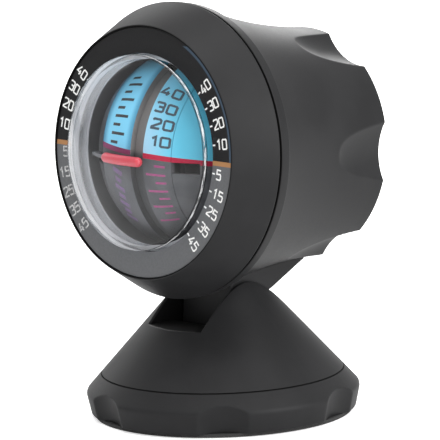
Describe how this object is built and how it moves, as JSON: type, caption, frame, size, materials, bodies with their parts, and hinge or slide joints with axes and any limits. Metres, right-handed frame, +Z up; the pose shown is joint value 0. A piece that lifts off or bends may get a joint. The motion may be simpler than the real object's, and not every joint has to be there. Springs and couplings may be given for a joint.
{
  "type": "inclinometer",
  "caption": "Dashboard inclinometer: domed head with a number ring and a weighted roll and pitch ball, tilting on a slotted cone that turns on a round adhesive base.",
  "frame": {"origin": "middle of the adhesive face under the base, on the base's axis", "axes": "+Z up out of the dashboard, the dial faces -Y, +X is to the right for someone reading the dial"},
  "size_m": [0.069, 0.0672, 0.0979],
  "materials": {
    "housing_black": "fine matt grain",
    "ring_print": "satin, printed black above and grey below",
    "clear_lens": "clear moulded acrylic",
    "seal_rubber": "matt",
    "capsule_black": "satin",
    "ball_blue": "printed, sky blue above and grey below",
    "frame_grey": "satin",
    "pointer_red": "coral red",
    "bush_brass": "turned",
    "weight_metal": "cast",
    "pin_steel": "drawn wire",
    "screw_steel": "blackened",
    "white_nylon": "moulded nylon",
    "pad_foam": "foam tape"
  },
  "bodies": {
    "base": {"adhesive_pad": "pad_foam", "base_plate": "housing_black", "base_screws": "screw_steel", "base_ring": "housing_black", "swivel_friction_ring": "white_nylon"},
    "cone": {"base_cone": "housing_black", "tilt_pin": "pin_steel", "tilt_nut": "pin_steel", "tilt_washers": "white_nylon"},
    "head": {"rear_shell": "housing_black", "rear_cover": "housing_black", "rear_cover_screws": "screw_steel", "front_bezel": "housing_black", "scale_ring": "ring_print", "dome_lens": "clear_lens", "dome_gasket": "seal_rubber", "capsule_cup": "capsule_black", "roll_bearing": "bush_brass"},
    "ball": {"roll_yoke": "frame_grey", "right_cap": "ball_blue", "left_cap": "ball_blue", "roll_axle": "pin_steel", "roll_axle_clip": "pin_steel", "roll_weights": "weight_metal", "pitch_bearings": "bush_brass", "pointer_bar": "pointer_red"},
    "drum": {"pitch_drum": "ball_blue", "pitch_axle": "pin_steel", "pitch_weights": "weight_metal"}
  },
  "joints": [
    {"name": "base_swivel", "type": "hinge", "parent": "base", "child": "cone", "pos_m": [0, 0, 0], "axis": [0, 0, 1], "continuous": true},
    {"name": "head_tilt", "type": "hinge", "parent": "cone", "child": "head", "pos_m": [0, 0, 0.017], "axis": [1, 0, 0], "range_deg": [-15, 15]},
    {"name": "roll", "type": "hinge", "parent": "head", "child": "ball", "pos_m": [0, -0.00402, 0.06268], "axis": [0, 0.9956, -0.0941], "continuous": true},
    {"name": "pitch", "type": "hinge", "parent": "ball", "child": "drum", "pos_m": [0, -0.00402, 0.06268], "axis": [1, 0, 0], "continuous": true}
  ]
}
